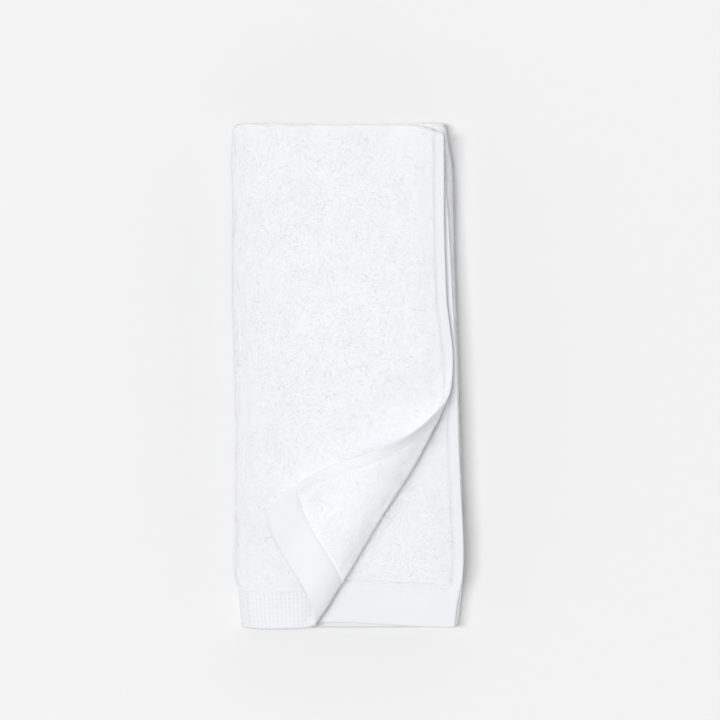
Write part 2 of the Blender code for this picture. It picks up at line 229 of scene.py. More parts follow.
TURNED_SHOWS, BARED_SHOWS = (-0.044, -0.036), (-0.026, -0.018)  # past the crease
STRAND_SIDES = 3  # of the yarn
STRAND_POINTS = 2 + 2 * STRAND_SIDES
# Slow noises of the pile: cell and seed
HEADING_NOISE, LEAN_NOISE = (0.0045, 41), (0.0110, 44)
CLUMP_NOISE, PATCH_NOISE, PATCH_SHARE = (0.0042, 42), (0.0130, 43), 0.6
HEADING_STRAY, LEAN_STRAY = 1.2, 0.9  # radians added to the noise
# Shading of the loops
PILE_SOFT = 0.86  # how far they are shaded as one soft surface
PILE_LIFT = 0.92  # how far they are shaded as lying level round the outer folds
ROLL_LIFT = 0.60  # the same where the roll turns sideways
PUSHED = 0.95  # how far the bared layer's loops lean away from the roll beside it
PUSHED_WIDTH = 0.0065

# Tone of the pile, from 0 at its dullest to 1 at its whitest
PILE_TONE = 0.735  # of the face
TONE_STRAY = (-0.15, 0.13)
CLUMP_BRIGHT = 0.06  # how much brighter the loops of a clump are
SWELL_PAINTED_HIGHLIGHT = 0.25  # painted highlight where the face swells along the turned hem
REVERSE_BRIGHT = 0.18  # on the reverse
SLOT_PAINTED_LIGHT = 0.30  # painted light: how much brighter still in the slot beside the roll
SLOT_BAND = (-0.003, 0.004, 0.009)  # past the crease: middle, then inner and outer half width
LIFT_PAINTED_SHADE = 0.20  # painted shade where the face lifts into the roll
LIFT_BAND = (-0.007, 0.004, 0.015)  # measured in the same way
FOLD_PAINTED_SHADE = 0.50  # painted shade round the left fold
LEFT_PAINTED_SHADE = 0.07  # less painted shade towards the left side
GROUND_PAINTED_SHADE = (0.02, 0.16)  # painted shade on the ground between the loops, on the face and on the reverse

# Painted shade on the flat weave, how much duller it is: along the end edges, in the curled side
# hem, in the end bands beside the roll, and round the left fold
EDGE_PAINTED_SHADE, CURL_PAINTED_SHADE, BAND_PAINTED_SHADE, FLAT_FOLD_PAINTED_SHADE = 0.75, 0.85, 0.36, 0.55
EDGE_FADE = {1: (0.0010, 0.0017), -1: (0.0006, 0.0013)}  # from the end, on face and reverse
BAND_FADE = (0.8 * BORDER, BORDER)  # from the end
TURNED_FADE = (0.002, 0.024)  # from the crease
BARED_FADE = (-0.002, 0.013)  # from the roll
CURL_FADE = (0.150, 0.175)  # from the corner up the side hem

# Sewing thread
STITCH_PITCH = 0.0030
STITCH_LONG = 0.0022
STITCH_FLAT = 0.28  # half the part of a stitch that lies on the cloth, as a share of its length
STITCH_PROUD = 0.7  # how far that part's middle stands out, in radii of the thread
STITCH_STRAY = 0.06
THREAD = 0.00020  # its radius

# Grid of the sheet: lines round a turned edge and beside a row of stitches, how far the fine
# lines of a fold reach into its panels, and the steps between lines from stop to stop
EDGE_LINES = (0.0, 0.00012, 0.0004, 0.0009, 0.0017)
STITCH_LINES = (-0.0006, 0.0, 0.0005)
PLAIN_FROM, PLAIN_SHORT = 0.0030, 0.0012  # plain part of a hem: from its edge, short of its row
INNER_LINES = (0.0, 0.0006)  # past an end hem's inner edge
SIDE_LINES = (0.0, 0.0005, 0.0012)  # past a side hem
END_LINES = (-0.0004, 0.0003, 0.0010, 0.0024)  # past an end border
SIDE_STEP, END_STEP = 0.0013, 0.0026  # on the way to the stitches
FOLD_LAP, CROSS_LAP, CORNER_LAP = 0.004, 0.003, 0.04
BARED_TO = 0.170  # how far up the bared layer's finer lines reach
STEPS_ACROSS = (0.0070, 0.0014, 0.0060, 0.0014, 0.0032, 0.0017)
STEPS_ALONG = (0.0050, 0.0075, 0.0009, 0.0045, 0.0019)


# ---- the folded cloth

def smooth(x, low, high):
    """A soft step: 0 below low, 1 above high, with level ends."""
    k = np.clip((x - low) / (high - low), 0.0, 1.0)
    return k * k * (3.0 - 2.0 * k)


def band(x, middle, inner, outer):
    """1 within an inner distance of a middle, 0 beyond an outer one, soft between them."""
    return 1 - smooth(np.abs(x - middle), inner, outer)


def soft_table(at, table, column):
    """A column of a table at any place: the mean of four readings, to soften its corners."""
    rows = np.array(sorted(table))
    places = [at + shift * TABLE_EASE for shift in (-1.5, -0.5, 0.5, 1.5)]
    return sum(np.interp(place, rows[:, 0], rows[:, column]) for place in places) / len(places)


def from_hems(s, t):
    """Distances of a flat place from the nearer side hem and from the nearer end hem."""
    return np.minimum(s, WIDTH - s), np.minimum(t, LENGTH - t)


def past_crease(side, end):
    """How far past the corner's crease a place lies, with the crease's direction and the way up.

    side and end are distances from the corner, up the side hem and along the end hem. The
    crease runs between the two turn-up lengths with a slight bow.
    """
    height = 1.0 / np.hypot(1.0 / TURN_UP_SIDE, 1.0 / TURN_UP_END)
    to_side, to_end = height / TURN_UP_SIDE, height / TURN_UP_END
    past = (1.0 - side / TURN_UP_SIDE - end / TURN_UP_END) * height
    length = np.hypot(TURN_UP_SIDE, TURN_UP_END)
    up = np.clip(1.0 + ((side - TURN_UP_SIDE) * to_end - end * to_side) / length, 0.0, 1.1)
    along = np.clip(up, 0.0, 1.0)
    return past + CREASE_BOW * 4 * along * (1 - along), to_side, to_end, up


def roll(past, up):
    """The turned corner's path square to the crease: way out, height, share turned, cloth gone.

    Three arcs follow one another: a gentle lift, the bend over, and a long gentle fall that
    ends level. past is the cloth past the crease and up the way along it, 0 to 1.
    """
    lift = LIFT_SLOPE * up ** LIFT_SPREAD + LEAST_LIFT
    bend_radius = BEND_TIGHT + (BEND_LOOSE - BEND_TIGHT) * up ** BEND_SPREAD
    fall_length = FALL_TIGHT + (FALL_LOOSE - FALL_TIGHT) * up
    lift_radius, fall_radius = LIFT_LENGTH / lift, fall_length / FALL_SLOPE
    bend_length = bend_radius * (np.pi - lift - FALL_SLOPE)
    whole = LIFT_LENGTH + bend_length + fall_length
    level_shift = (lift_radius - bend_radius) * np.sin(lift)
    level_shift += (bend_radius - fall_radius) * np.sin(FALL_SLOPE)
    before = (whole + level_shift) / 2
    at = past + before
    first = np.clip(at, 0.0, LIFT_LENGTH) / lift_radius
    second = lift + np.clip(at - LIFT_LENGTH, 0.0, bend_length) / bend_radius
    third = FALL_SLOPE - np.clip(at - LIFT_LENGTH - bend_length, 0.0, fall_length) / fall_radius
    gone = np.clip(at - whole, 0.0, None)
    out = np.minimum(past, -before) - gone + lift_radius * np.sin(first)
    out += bend_radius * (np.sin(second) - np.sin(lift))
    out -= fall_radius * (np.sin(FALL_SLOPE) - np.sin(third))
    height = lift_radius * (1 - np.cos(first)) + bend_radius * (np.cos(lift) - np.cos(second))
    height += fall_radius * (np.cos(third) - np.cos(FALL_SLOPE))
    height *= 1 - ROLL_PRESSED * up ** 3
    heading = np.where(at < LIFT_LENGTH, first, second)
    heading = np.where(at < LIFT_LENGTH + bend_length, heading, np.pi - third)
    return out, height, 0.5 * (1 - np.cos(heading)), gone


def turn_back(x, y, side, end):
    """Plan place of the top layer once its corner is turned, its height, share and cloth gone.

    Away from the crease the cloth lies either where it lay, or on the turned side; between
    them it follows the roll.
    """
    past, to_side, to_end, up = past_crease(side, end)
    out, lift, share, gone = roll(past, up)
    # the cloth that stays down, drawn towards the roll
    stay_x = x + to_end * (out - past)
    stay_y = y - to_side * (out - past)
    # the cloth that has gone over
    over_side, over_end = side + to_side * (out + past), end + to_end * (out + past)
    sway_s = SIDE_HEM_SWAY * np.sin(2 * np.pi * over_side / TURN_UP_SIDE)
    sway_s *= np.clip(1.0 - over_end / TURN_UP_END, 0.0, 1.0)
    sway_e = END_HEM_SWAY * np.sin(2 * np.pi * over_end / TURN_UP_END)
    sway_e *= np.clip(1.0 - over_side / TURN_UP_SIDE, 0.0, 1.0)
    over_x = CORNER[0] + over_side * COS_S + over_end * SIN_E - sway_s * SIN_S - sway_e * COS_E
    over_y = CORNER[1] + over_side * SIN_S - over_end * COS_E + sway_s * COS_S - sway_e * SIN_E
    turned_x = stay_x * (1 - share) + over_x * share
    turned_y = stay_y * (1 - share) + over_y * share
    return turned_x, turned_y, lift, share, gone


def roll_reach(up):
    """How far the roll reaches out past its crease, at a way up along it."""
    ways = np.linspace(0.0, 1.1, 23)
    stops = np.linspace(-0.030, 0.030, 121)
    return np.interp(up, ways, roll(stops[:, None], ways[None, :])[0].max(axis=0))


def off_roll(x, y):
    """From the roll's outermost surface to a plan place of the bared layer, and the way up."""
    up_side, along_end = y - soft_table(x, ENDS, 3), soft_table(y, ROWS, 3) - x
    from_crease, _, _, up = past_crease(up_side, along_end)
    return from_crease - roll_reach(up) - LOFT / 2, up


def beside_rise(x, y):
    """Rise of the bared layer against the roll: a soft ridge that dies at the roll's ends."""
    off, up = off_roll(x, y)
    ends = smooth(up, *BESIDE_BEGINS) * (1.0 - smooth(up, *BESIDE_ENDS))
    width = np.where(off < 0, BESIDE_WIDTH[0], BESIDE_WIDTH[1])
    return BESIDE_RISE * ends * np.exp(-(off / width) ** 2)


def side_hem_swell(x, y):
    """How far the face swells along the turned side hem: a soft ridge that dies at its ends."""
    dx, dy = x - CORNER[0], y - CORNER[1]
    along, off = dx * COS_S + dy * SIN_S, dy * COS_S - dx * SIN_S
    ends = smooth(along, *SWELL_RISE) * (1.0 - smooth(along, *SWELL_FALL))
    return SWELL * ends * np.exp(-(off / SWELL_WIDTH) ** 2)


def waves(x, y):
    """Sum of a few long waves, each along its own bearing, never below 0."""
    total = np.zeros_like(x)
    for size, length, bearing, phase in WAVES:
        along = x * np.cos(bearing) + y * np.sin(bearing)
        total += size * (1 + np.sin(2 * np.pi * along / length + phase))
    return total


def border(t):
    """From the nearer end hem to the terry."""
    return np.where(t > CROSS_MIDDLE, TOP_BORDER, UNDER_BORDER)


def terry_share(s, t):
    """1 in the terry field, 0 at the side hems and the two end borders."""
    from_side, from_end = from_hems(s, t)
    return smooth(from_side, *SIDE_EASE) * smooth(from_end, *END_EASE)


def layer_levels(from_end):
    """Height of the lowest layer's middle, and of one layer, at a distance from the end hems."""
    terry = smooth(from_end, *END_EASE)
    ground = (FLAT_WEAVE + (LOFT - FLAT_WEAVE) * terry) / 2
    pitch = BORDER_PITCH + (PITCH - BORDER_PITCH) * smooth(from_end, *PITCH_EASE)
    return ground, pitch


def side_fold(share, radius, height):
    """A side fold's reach, climb and turn at a share of its cloth.

    Its section is upright, with a round corner at its foot and another at its top.
    """
    upright = height - 2 * radius
    along = share * (np.pi * radius + upright)
    climbed = np.clip(along - np.pi / 2 * radius, 0.0, upright)
    turn = (along - climbed) / radius
    return radius * np.sin(turn), radius * (1 - np.cos(turn)) + climbed, turn


def side_path(s, left, right, hem, ground, pitch):
    """The doubled cloth's path in its cross-section, with its outward direction.

    Five stretches: inner panel, right fold, bottom panel, left fold, top panel. The panels are
    level.
    """
    stops = np.cumsum(PANELS)
    share = [np.clip((s - stop + size) / size, 0.0, 1.0) for stop, size in zip(stops, PANELS)]
    stretch = np.searchsorted(stops[:-1], s, side="left")
    low, middle, high = ground + 0.5 * pitch, ground + 2.5 * pitch, ground + 4.5 * pitch
    inner = left + INNER_END
    reach_r, climb_r, turn_r = side_fold(share[1], RIGHT_ROUND * pitch, 2 * pitch)
    reach_l, climb_l, turn_l = side_fold(share[3], LEFT_ROUND * pitch, 4 * pitch)
    x = np.choose(stretch, (
        inner + (right - inner) * share[0],
        right + reach_r,
        right + (left - right) * share[2],
        left - reach_l,
        left + (hem - left) * share[4]))
    z = np.choose(stretch, (middle, middle - climb_r, low, low + climb_l, high))
    out_x = np.choose(stretch, (0.0, np.sin(turn_r), 0.0, -np.sin(turn_l), 0.0))
    out_z = np.choose(stretch, (1.0, np.cos(turn_r), -1.0, -np.cos(turn_l), 1.0))
    return x, z, out_x, out_z, stretch


def cloth(s, t):
    """Middle of the folded cloth for flat places s (across) and t (along).

    The doubled cloth follows the side path; each half is set off from it by half a layer, A
    outwards and B inwards, and the crosswise fold is a half turn from one to the other. The
    top layer's corner is then turned back, and the stack gets its soft unevenness.
    """
    cross = np.pi * (np.clip((t - HALF) / CROSS_TURN, 0.0, 1.0) - 0.5)
    half = np.sin(cross)                       # -1 in B, +1 in A
    in_a = 0.5 * (1 + half)
    from_hem = from_hems(s, t)[1]
    up = np.clip(from_hem / HALF, 0.0, 1.0)
    ground, pitch = layer_levels(from_hem)

    y = LOW_END + up * (HIGH_END - LOW_END)    # near enough to read the tables
    left = soft_table(y, ROWS, 1) + (LEFT_ROUND + 0.5) * pitch + LOFT / 2
    right = soft_table(y, ROWS, 2) - (RIGHT_ROUND + 0.5) * pitch - LOFT / 2
    hem = soft_table(y, ROWS, 4) * (1 - in_a) + soft_table(y, ROWS, 3) * in_a
    x, z, out_x, out_z, stretch = side_path(s, left, right, hem, ground, pitch)
    x = x + out_x * half * pitch / 2
    z = z + out_z * half * pitch / 2

    on_top = smooth(s, WIDTH - P3 - LEFT_TURN, WIDTH - P3)
    crest = soft_table(x, ENDS, 2) * (1 - on_top) + soft_table(x, ENDS, 1) * on_top
    crest = crest - (PITCH + LOFT) / 2
    top_end = soft_table(x, ENDS, 3) * in_a + soft_table(x, ENDS, 4) * (1 - in_a)
    low_end = LOW_END + END_WANDER * np.cos(2 * np.pi * x / WIDTH + np.pi * in_a)
    end = low_end * (1 - on_top) + top_end * on_top
    y = end + (crest - end) * up + np.cos(cross) * PITCH / 2

    # the top panel's free side hems sink a little, and its upper layer's corner is turned back
    droop = HEM_DROOP * smooth(s, WIDTH - 3 * SIDE_HEM, WIDTH)
    top_layer = (stretch == 4) & (t > HALF + CROSS_TURN)
    up_side, along_end = y - end, hem - x
    turned_x, turned_y, lift, share, gone = turn_back(x, y, up_side, along_end)
    face_ground, face_pitch = layer_levels(turned_y - end)
    thick = FLAT_WEAVE + (LOFT - FLAT_WEAVE) * terry_share(s, t)
    lay = thick / 2 + LOFT / 2 + LAY_GAP
    sunk = lift + (np.minimum(lay, lift) - lift) * smooth(gone, 0.0, SETTLE)
    turned_z = face_ground + 5 * face_pitch + sunk + side_hem_swell(turned_x, turned_y)
    turned_z = turned_z - droop * (1 - smooth(lift, 0.0, 2 * HEM_DROOP))
    # the turned side hem curls up where it comes out of the roll
    inner = 1.0 - np.clip(along_end / CURL_WIDTH, 0.0, 1.0)
    curl = HEM_CURL * share ** 2 * smooth(up_side, *CURL_RISE) * inner ** 2
    turned_z = turned_z + curl
    bared = (stretch == 4) & (t < HALF)
    x = np.where(top_layer, turned_x, x)
    y = np.where(top_layer, turned_y, y)
    z = np.where(top_layer, turned_z, z - droop + np.where(bared, beside_rise(x, y), 0.0))
    return x, y, z + waves(x, y) * on_top * smooth(z, 2.5 * pitch, 4.5 * pitch)


def cloth_frame(s, t):
    """Points of the cloth's middle, its unit directions along s and t, and its face normal."""
    step = 0.0002

    def points(s_at, t_at):
        return np.stack(cloth(s_at, t_at), axis=-1)

    along_s = points(s + step, t) - points(s - step, t)
    along_t = points(s, t + step) - points(s, t - step)
    normal = np.cross(along_t, along_s)
    return points(s, t), unit(along_s), unit(along_t), unit(normal)


def unit(vectors):
    """Vectors scaled to length 1."""
    return vectors / np.maximum(np.linalg.norm(vectors, axis=-1, keepdims=True), 1e-12)


def soft_noise(s, t, cell, seed):
    """Values from -1 to 1, drawn at the corners of square cells and eased between them."""
    rng = np.random.default_rng(seed)
    table = rng.uniform(-1.0, 1.0, (int(LENGTH / cell) + 3, int(WIDTH / cell) + 3))
    column, row = np.clip(s / cell, 0, None), np.clip(t / cell, 0, None)
    c, r = column.astype(int), row.astype(int)
    across, along = smooth(column - c, 0.0, 1.0), smooth(row - r, 0.0, 1.0)
    near = table[r, c] * (1 - across) + table[r, c + 1] * across
    far = table[r + 1, c] * (1 - across) + table[r + 1, c + 1] * across
    return near * (1 - along) + far * along


# ---- where the loops stand

def corner_distances(s, t):
    """Distances up the side hem and along the end hem from the corner of layer A."""
    return LENGTH - t, WIDTH - s


def past_turn(s, t):
    """How far past the turned corner's crease a flat place lies."""
    return past_crease(*corner_distances(s, t))[0]


def under_turned_corner(x, y, margin):
    """True for plan places that the turned corner covers by more than a margin."""
    turn = -COS_S * COS_E - SIN_S * SIN_E
    dx, dy = x - CORNER[0], y - CORNER[1]
    side = (-dx * COS_E - dy * SIN_E) / turn
    end = (dy * COS_S - dx * SIN_S) / turn
    past = past_crease(side, end)[0]
    return (side > margin) & (end > margin) & (past > margin / 2)


def round_left(s):
    """1 round the left fold, 0 on the level panels."""
    top = WIDTH - P3
    opens = smooth(s, top + LEFT_OPENS[0], top + LEFT_OPENS[1])
    return opens * (1 - smooth(s, top + LEFT_CLOSES[0], top + LEFT_CLOSES[1]))


def round_crest(t):
    """1 over the crosswise fold's crest, 0 on the level panels."""
    return band(t, CROSS_MIDDLE, 0.5 * CROSS_TURN, 1.2 * CROSS_TURN)


def beside_roll(t, x, y):
    """1 on the bared layer right beside the roll, 0 from a few millimetres away on."""
    return np.where(t < CROSS_MIDDLE, 1 - smooth(off_roll(x, y)[0], 0.0, PUSHED_WIDTH), 0.0)


def roll_side(s, t, x, y):
    """1 on the reverse where the roll's side and the bared layer face each other, else 0: where
    the slot beside the roll gets painted light.
    """
    return np.where(t > CROSS_MIDDLE, band(past_turn(s, t), *SLOT_BAND), beside_roll(t, x, y))


def pile_tone(s, t, side=1):
    """Tone of the pile, 0 to 1.

    It carries painted shade round the left fold, a little towards the left side, and on the face
    where the cloth lifts into the roll. The reverse is brighter.
    """
    away = smooth(s, WIDTH - P3, WIDTH - P3 / 2)
    tone = PILE_TONE - FOLD_PAINTED_SHADE * round_left(s) - LEFT_PAINTED_SHADE * (1 - away)
    lifting = band(past_turn(s, t), *LIFT_BAND) * (t > CROSS_MIDDLE) * (side > 0)
    return tone - LIFT_PAINTED_SHADE * lifting + (REVERSE_BRIGHT if side < 0 else 0.0)


def shows_face(s, t):
    """1 where face-side loops stand free: the outer half, its folds and the crosswise fold."""
    edge = 0.012
    folds = smooth(s, P1 - edge, P1) * (1 - smooth(s, P1 + RIGHT_TURN, P1 + RIGHT_TURN + edge))
    top = smooth(s, WIDTH - P3 - LEFT_TURN - edge, WIDTH - P3 - LEFT_TURN)
    outer = smooth(t, HALF - edge / 2, HALF)
    crest = outer * (1 - smooth(t, HALF + CROSS_TURN, HALF + CROSS_TURN + edge))
    return np.maximum(outer * np.maximum(folds, top), crest)


def shows_reverse(s, t):
    """1 where reverse-side loops stand free: the turned corner and the layer that it bares."""
    turned = smooth(past_turn(s, t), *TURNED_SHOWS)
    bared = smooth(past_crease(t, WIDTH - s)[0], *BARED_SHOWS)
    return np.where(t > CROSS_MIDDLE, turned, bared)


# ---- meshes

def mesh_piece(name, points, face_sets, material, uv=None, marks=None, normals=None):
    """A smooth-shaded object from points and sets of faces, each set of one corner count.

    No point lies below the floor.
    """
    points[:, 2] = np.maximum(points[:, 2], 0.0)
    corners = np.concatenate([faces.ravel() for faces in face_sets])
    sizes = np.concatenate([np.full(len(faces), faces.shape[1]) for faces in face_sets])
    mesh = bpy.data.meshes.new(name)
    mesh.vertices.add(len(points))
    mesh.vertices.foreach_set("co", points.astype(np.float32).ravel())
    mesh.loops.add(len(corners))
    mesh.loops.foreach_set("vertex_index", corners.astype(np.int32))
    mesh.polygons.add(len(sizes))
    mesh.polygons.foreach_set("loop_start", (np.cumsum(sizes) - sizes).astype(np.int32))
    mesh.update(calc_edges=True)
    if uv is not None:
        layer = mesh.uv_layers.new(name="flat cloth")
        layer.data.foreach_set("uv", uv[corners].astype(np.float32).ravel())
    for mark, values in (marks or {}).items():
        layer = mesh.attributes.new(mark, "FLOAT", "POINT")
        layer.data.foreach_set("value", values.astype(np.float32).ravel())
    mesh.shade_smooth()
    if normals is not None:
        mesh.normals_split_custom_set_from_vertices(normals.astype(np.float32))
    mesh.materials.append(material)
    piece = bpy.data.objects.new(name, mesh)
    bpy.context.scene.collection.objects.link(piece)
    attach(piece, BODY)
    return piece


def grid_faces(index):
    """Quads between the points of a grid of point numbers."""
    corners = index[:-1, :-1], index[:-1, 1:], index[1:, 1:], index[1:, :-1]
    return np.stack(corners, axis=-1).reshape(-1, 4)


def stations(start, stops, steps):
    """Grid lines from a start over some stops, each reached in even steps of about its size."""
    lines = [start]
    for value, step in zip(stops, steps):
        last = lines[-1]
        count = max(1, int(round((value - last) / step)))
        lines += [last + (value - last) * (k + 1) / count for k in range(count)]
    return np.array(lines)


def hem_lines(stitch, step, beyond):
    """Fine grid lines of a hem: its turned edge, its row of stitches and what lies beyond.

    stitch is the row's distance from the edge, and step the one between lines on the way.
    """
    plain = np.arange(PLAIN_FROM, stitch - PLAIN_SHORT, step)
    row = [stitch + beside for beside in STITCH_LINES]
    return np.array([*EDGE_LINES, *plain, *row, *beyond])


def end_lines(width):
    """The grid lines of an end hem in a border of this width."""
    inner = width - END_HEM_INSIDE
    beyond = [inner + beside for beside in INNER_LINES]
    beyond += [width + beside for beside in END_LINES]
    return hem_lines(width - END_STITCH_INSIDE, END_STEP, beyond)


def side_stitch_shows(t, side):
    """1 along a side hem, but 0 on the reverse where an end hem is turned up over it."""
    from_end = np.minimum(t, LENGTH - t)
    return np.where((side > 0) | (from_end > border(t) - END_HEM_INSIDE), 1.0, 0.0)


def surface_offset(s, t, side):
    """Distance from the sheet's middle to its woven surface, on the face (+1) or reverse (-1).

    Terry is low under standing loops and thick where the loops are pressed. Hems are two to
    three layers of flat weave with a sunk row of stitches, ending in a step on the reverse.
    """
    from_side, from_end = from_hems(s, t)
    shown = shows_face(s, t) if side > 0 else shows_reverse(s, t)
    lumps = LUMP * soft_noise(s, t, LUMP_CELL, 11 + side) - LUMP_SINK
    terry = PRESSED + lumps + (TERRY_GROUND - PRESSED) * shown
    crown = HEM_CROWN * np.sin(np.pi * np.clip(from_side / SIDE_HEM, 0.0, 1.0))
    sewn = side_stitch_shows(t, side) * STITCH_SINK
    hem = HEM_HALF + crown - sewn * np.exp(-((from_side - SIDE_STITCH) / STITCH_GROOVE) ** 2)
    field = smooth(from_side, SIDE_HEM, SIDE_HEM + HEM_STEP)
    offset = hem * (1 - field) + terry * field
    if side > 0:
        flat = np.where(from_end < WAFFLE[0] + WAFFLE_LAP, HEM_HALF, UNDER_WAFFLE)
        flat = np.where(from_end > WAFFLE[1] - WAFFLE_LAP, RIDGE, flat)
        covered = (t > CROSS_MIDDLE) & (s > WAFFLE_FROM) & (s < WAFFLE_TO)
        flat = np.where(covered, flat, HEM_HALF)
    else:
        inside = border(t) - from_end
        sunk = STITCH_SINK * np.exp(-((inside - END_STITCH_INSIDE) / STITCH_GROOVE) ** 2)
        step = smooth(inside, END_HEM_INSIDE - HEM_STEP, END_HEM_INSIDE)
        flat = STRIP + (HEM_HALF - sunk - STRIP) * step
    flat = np.where(from_side < SIDE_HEM, np.maximum(flat, hem), flat)
    into_field = smooth(from_end, border(t) - 0.4 * HEM_STEP, border(t) + HEM_STEP)
    offset = flat * (1 - into_field) + offset * into_field
    edge = np.clip(np.minimum(from_side, from_end) / EDGE_ROUND, 0.0, 1.0)
    return EDGE_RIM + (offset - EDGE_RIM) * np.sqrt(1 - (1 - edge) ** 2)


def ground_share(s, t):
    """1 in the terry's ground, 0 in the flat weave of the hems and borders."""
    from_side, from_end = from_hems(s, t)
    past_side = smooth(from_side, SIDE_HEM, SIDE_HEM + HEM_STEP)
    return past_side * smooth(from_end, border(t), border(t) + HEM_STEP)


def flat_painted_shade(s, t, side, middle):
    """Painted shade on the flat weave: 0 over most of it, rising to 1 along its shaded lines.

    The lines are the end edges on both sides, the left fold on the face, and on the reverse the
    side hem where it curls out of the roll and the end bands on both sides of the roll.
    """
    from_end = from_hems(s, t)[1]
    at_edge = 1 - smooth(from_end, *EDGE_FADE[side])
    if side > 0:
        return np.maximum(at_edge, FLAT_FOLD_PAINTED_SHADE * round_left(s))
    up_side, along_end = corner_distances(s, t)
    turned_band = 1 - smooth(past_turn(s, t), *TURNED_FADE)
    bared_band = 1 - smooth(off_roll(middle[..., 0], middle[..., 1])[0], *BARED_FADE)
    beside = np.where(t > CROSS_MIDDLE, turned_band, bared_band)
    in_band = 1 - smooth(from_end, *BAND_FADE)
    ways = smooth(up_side, *CURL_RISE) * (1 - smooth(up_side, *CURL_FADE))
    in_curl = ways * (1 - smooth(along_end, 0.0, SIDE_HEM)) * (t > CROSS_MIDDLE)
    painted_shade = np.maximum(EDGE_PAINTED_SHADE * at_edge, BAND_PAINTED_SHADE * beside * in_band)
    return np.maximum(painted_shade, CURL_PAINTED_SHADE * in_curl)


def make_sheet(material):
    """The whole cloth as one closed sheet: face and reverse surfaces, joined round the edge."""
    folds = np.cumsum(PANELS)
    hem = hem_lines(SIDE_STITCH, SIDE_STEP, [SIDE_HEM + beside for beside in SIDE_LINES])
    under, top = end_lines(UNDER_BORDER), end_lines(TOP_BORDER)
    across = (folds[0] - FOLD_LAP, folds[1] + FOLD_LAP, folds[2] - FOLD_LAP,
              folds[3] + FOLD_LAP, WIDTH - TURN_UP_END, WIDTH - hem[-1])
    along = (BARED_TO, HALF - CROSS_LAP, HALF + CROSS_TURN + CROSS_LAP,
             LENGTH - TURN_UP_SIDE - CORNER_LAP, LENGTH - top[-1])
    s_panels = stations(hem[-1], across, STEPS_ACROSS)[1:-1]
    t_panels = stations(under[-1], along, STEPS_ALONG)[1:-1]
    s_lines = np.concatenate([hem, s_panels, (WIDTH - hem)[::-1]])
    t_lines = np.concatenate([under, t_panels, (LENGTH - top)[::-1]])
    s, t = np.meshgrid(s_lines, t_lines)
    middle, _, _, normal = cloth_frame(s, t)
    face = middle + normal * surface_offset(s, t, 1)[..., None]
    reverse = middle - normal * surface_offset(s, t, -1)[..., None]
    points = np.concatenate([face.reshape(-1, 3), reverse.reshape(-1, 3)])
    count = s.size
    index = np.arange(count).reshape(s.shape)
    ring = np.concatenate([index[0, :-1], index[:-1, -1], index[-1, :0:-1], index[:0:-1, 0]])
    following = np.roll(ring, -1)
    rim = np.stack([ring, following, following + count, ring + count], axis=1)
    uv = np.tile(np.stack([s.ravel(), t.ravel()], axis=1), (2, 1))
    faces = [grid_faces(index)[:, ::-1], grid_faces(index + count), rim]
    # the ground takes the pile's tone, with painted shade between the loops and painted light in
    # the slot beside the roll
    face_tone = pile_tone(s, t) - GROUND_PAINTED_SHADE[0]
    reverse_tone = pile_tone(s, t) - GROUND_PAINTED_SHADE[1]
    reverse_tone += 2 * SLOT_PAINTED_LIGHT * roll_side(s, t, middle[..., 0], middle[..., 1])
    marks = {"terry": np.tile(ground_share(s, t).ravel(), 2),
             "painted_shade": np.concatenate([flat_painted_shade(s, t, side, middle).ravel() for side in (1, -1)]),
             "tone": np.concatenate([face_tone.ravel(), reverse_tone.ravel()])}
    return mesh_piece("towel_cloth", points, faces, material, uv, marks)


def make_waffle(name, start, end, samples, material):
    """Honeycomb relief: a closed band along the end border.

    Its height falls from the ridges to a pit in each cell as the product of two squared sines,
    and each ridge is a little uneven. The band's section is the relief, its two edges and a
    plain back inside the cloth, carried along s.
    """
    cells = int(round((end - start) / CELL_ACROSS))
    s_line = np.linspace(start, end, cells * samples + 1)
    from_end = np.linspace(WAFFLE[0], WAFFLE[1], WAFFLE_ROWS * samples + 1)
    back = np.linspace(WAFFLE[1], WAFFLE[0], WAFFLE_BACK_LINES)
    s, t = np.meshgrid(s_line, LENGTH - from_end, indexing="ij")
    u = (s - start) / (end - start) * cells
    v = np.broadcast_to((from_end - WAFFLE[0]) / CELL_ALONG, s.shape)
    pit = (np.sin(np.pi * u) * np.sin(np.pi * v)) ** 2
    uneven = sum(size * soft_noise(s, t, cell, seed) for size, cell, seed in WAFFLE_NOISE)
    deep = RIDGE - PIT + FOLD_DEEPER * round_left(s)
    height = RIDGE + uneven - deep * pit ** PIT_POWER
    rim = smooth(np.minimum(v, WAFFLE_ROWS - v), 0.0, WAFFLE_RIM)
    height = UNDER_WAFFLE + (height - UNDER_WAFFLE) * (RIM_LOW + (1 - RIM_LOW) * rim)
    middle, _, _, normal = cloth_frame(s, t)
    relief = middle + normal * height[..., None]
    s_back, t_back = np.meshgrid(s_line, LENGTH - back, indexing="ij")
    middle, _, _, normal = cloth_frame(s_back, t_back)
    inside = middle + normal * WAFFLE_BACK
    section = np.concatenate([relief, inside], axis=1)
    points = section.reshape(-1, 3)
    index = np.arange(len(points)).reshape(section.shape[:2])
    quads = grid_faces(np.concatenate([index, index[:, :1]], axis=1))
    caps = np.stack([index[0, ::-1], index[-1]])
    uv_s, uv_t = np.concatenate([s, s_back], axis=1), np.concatenate([t, t_back], axis=1)
    uv = np.stack([uv_s.ravel(), uv_t.ravel()], axis=1)
    # painted shade on the cells' floors, with the pile's painted shade round the left fold
    in_pit = np.concatenate([pit, np.zeros_like(s_back)], axis=1)
    marks = {"tone": (pile_tone(uv_s, uv_t) - PIT_PAINTED_SHADE * in_pit).ravel()}
    return mesh_piece(name, points, [quads, caps], material, uv, marks)


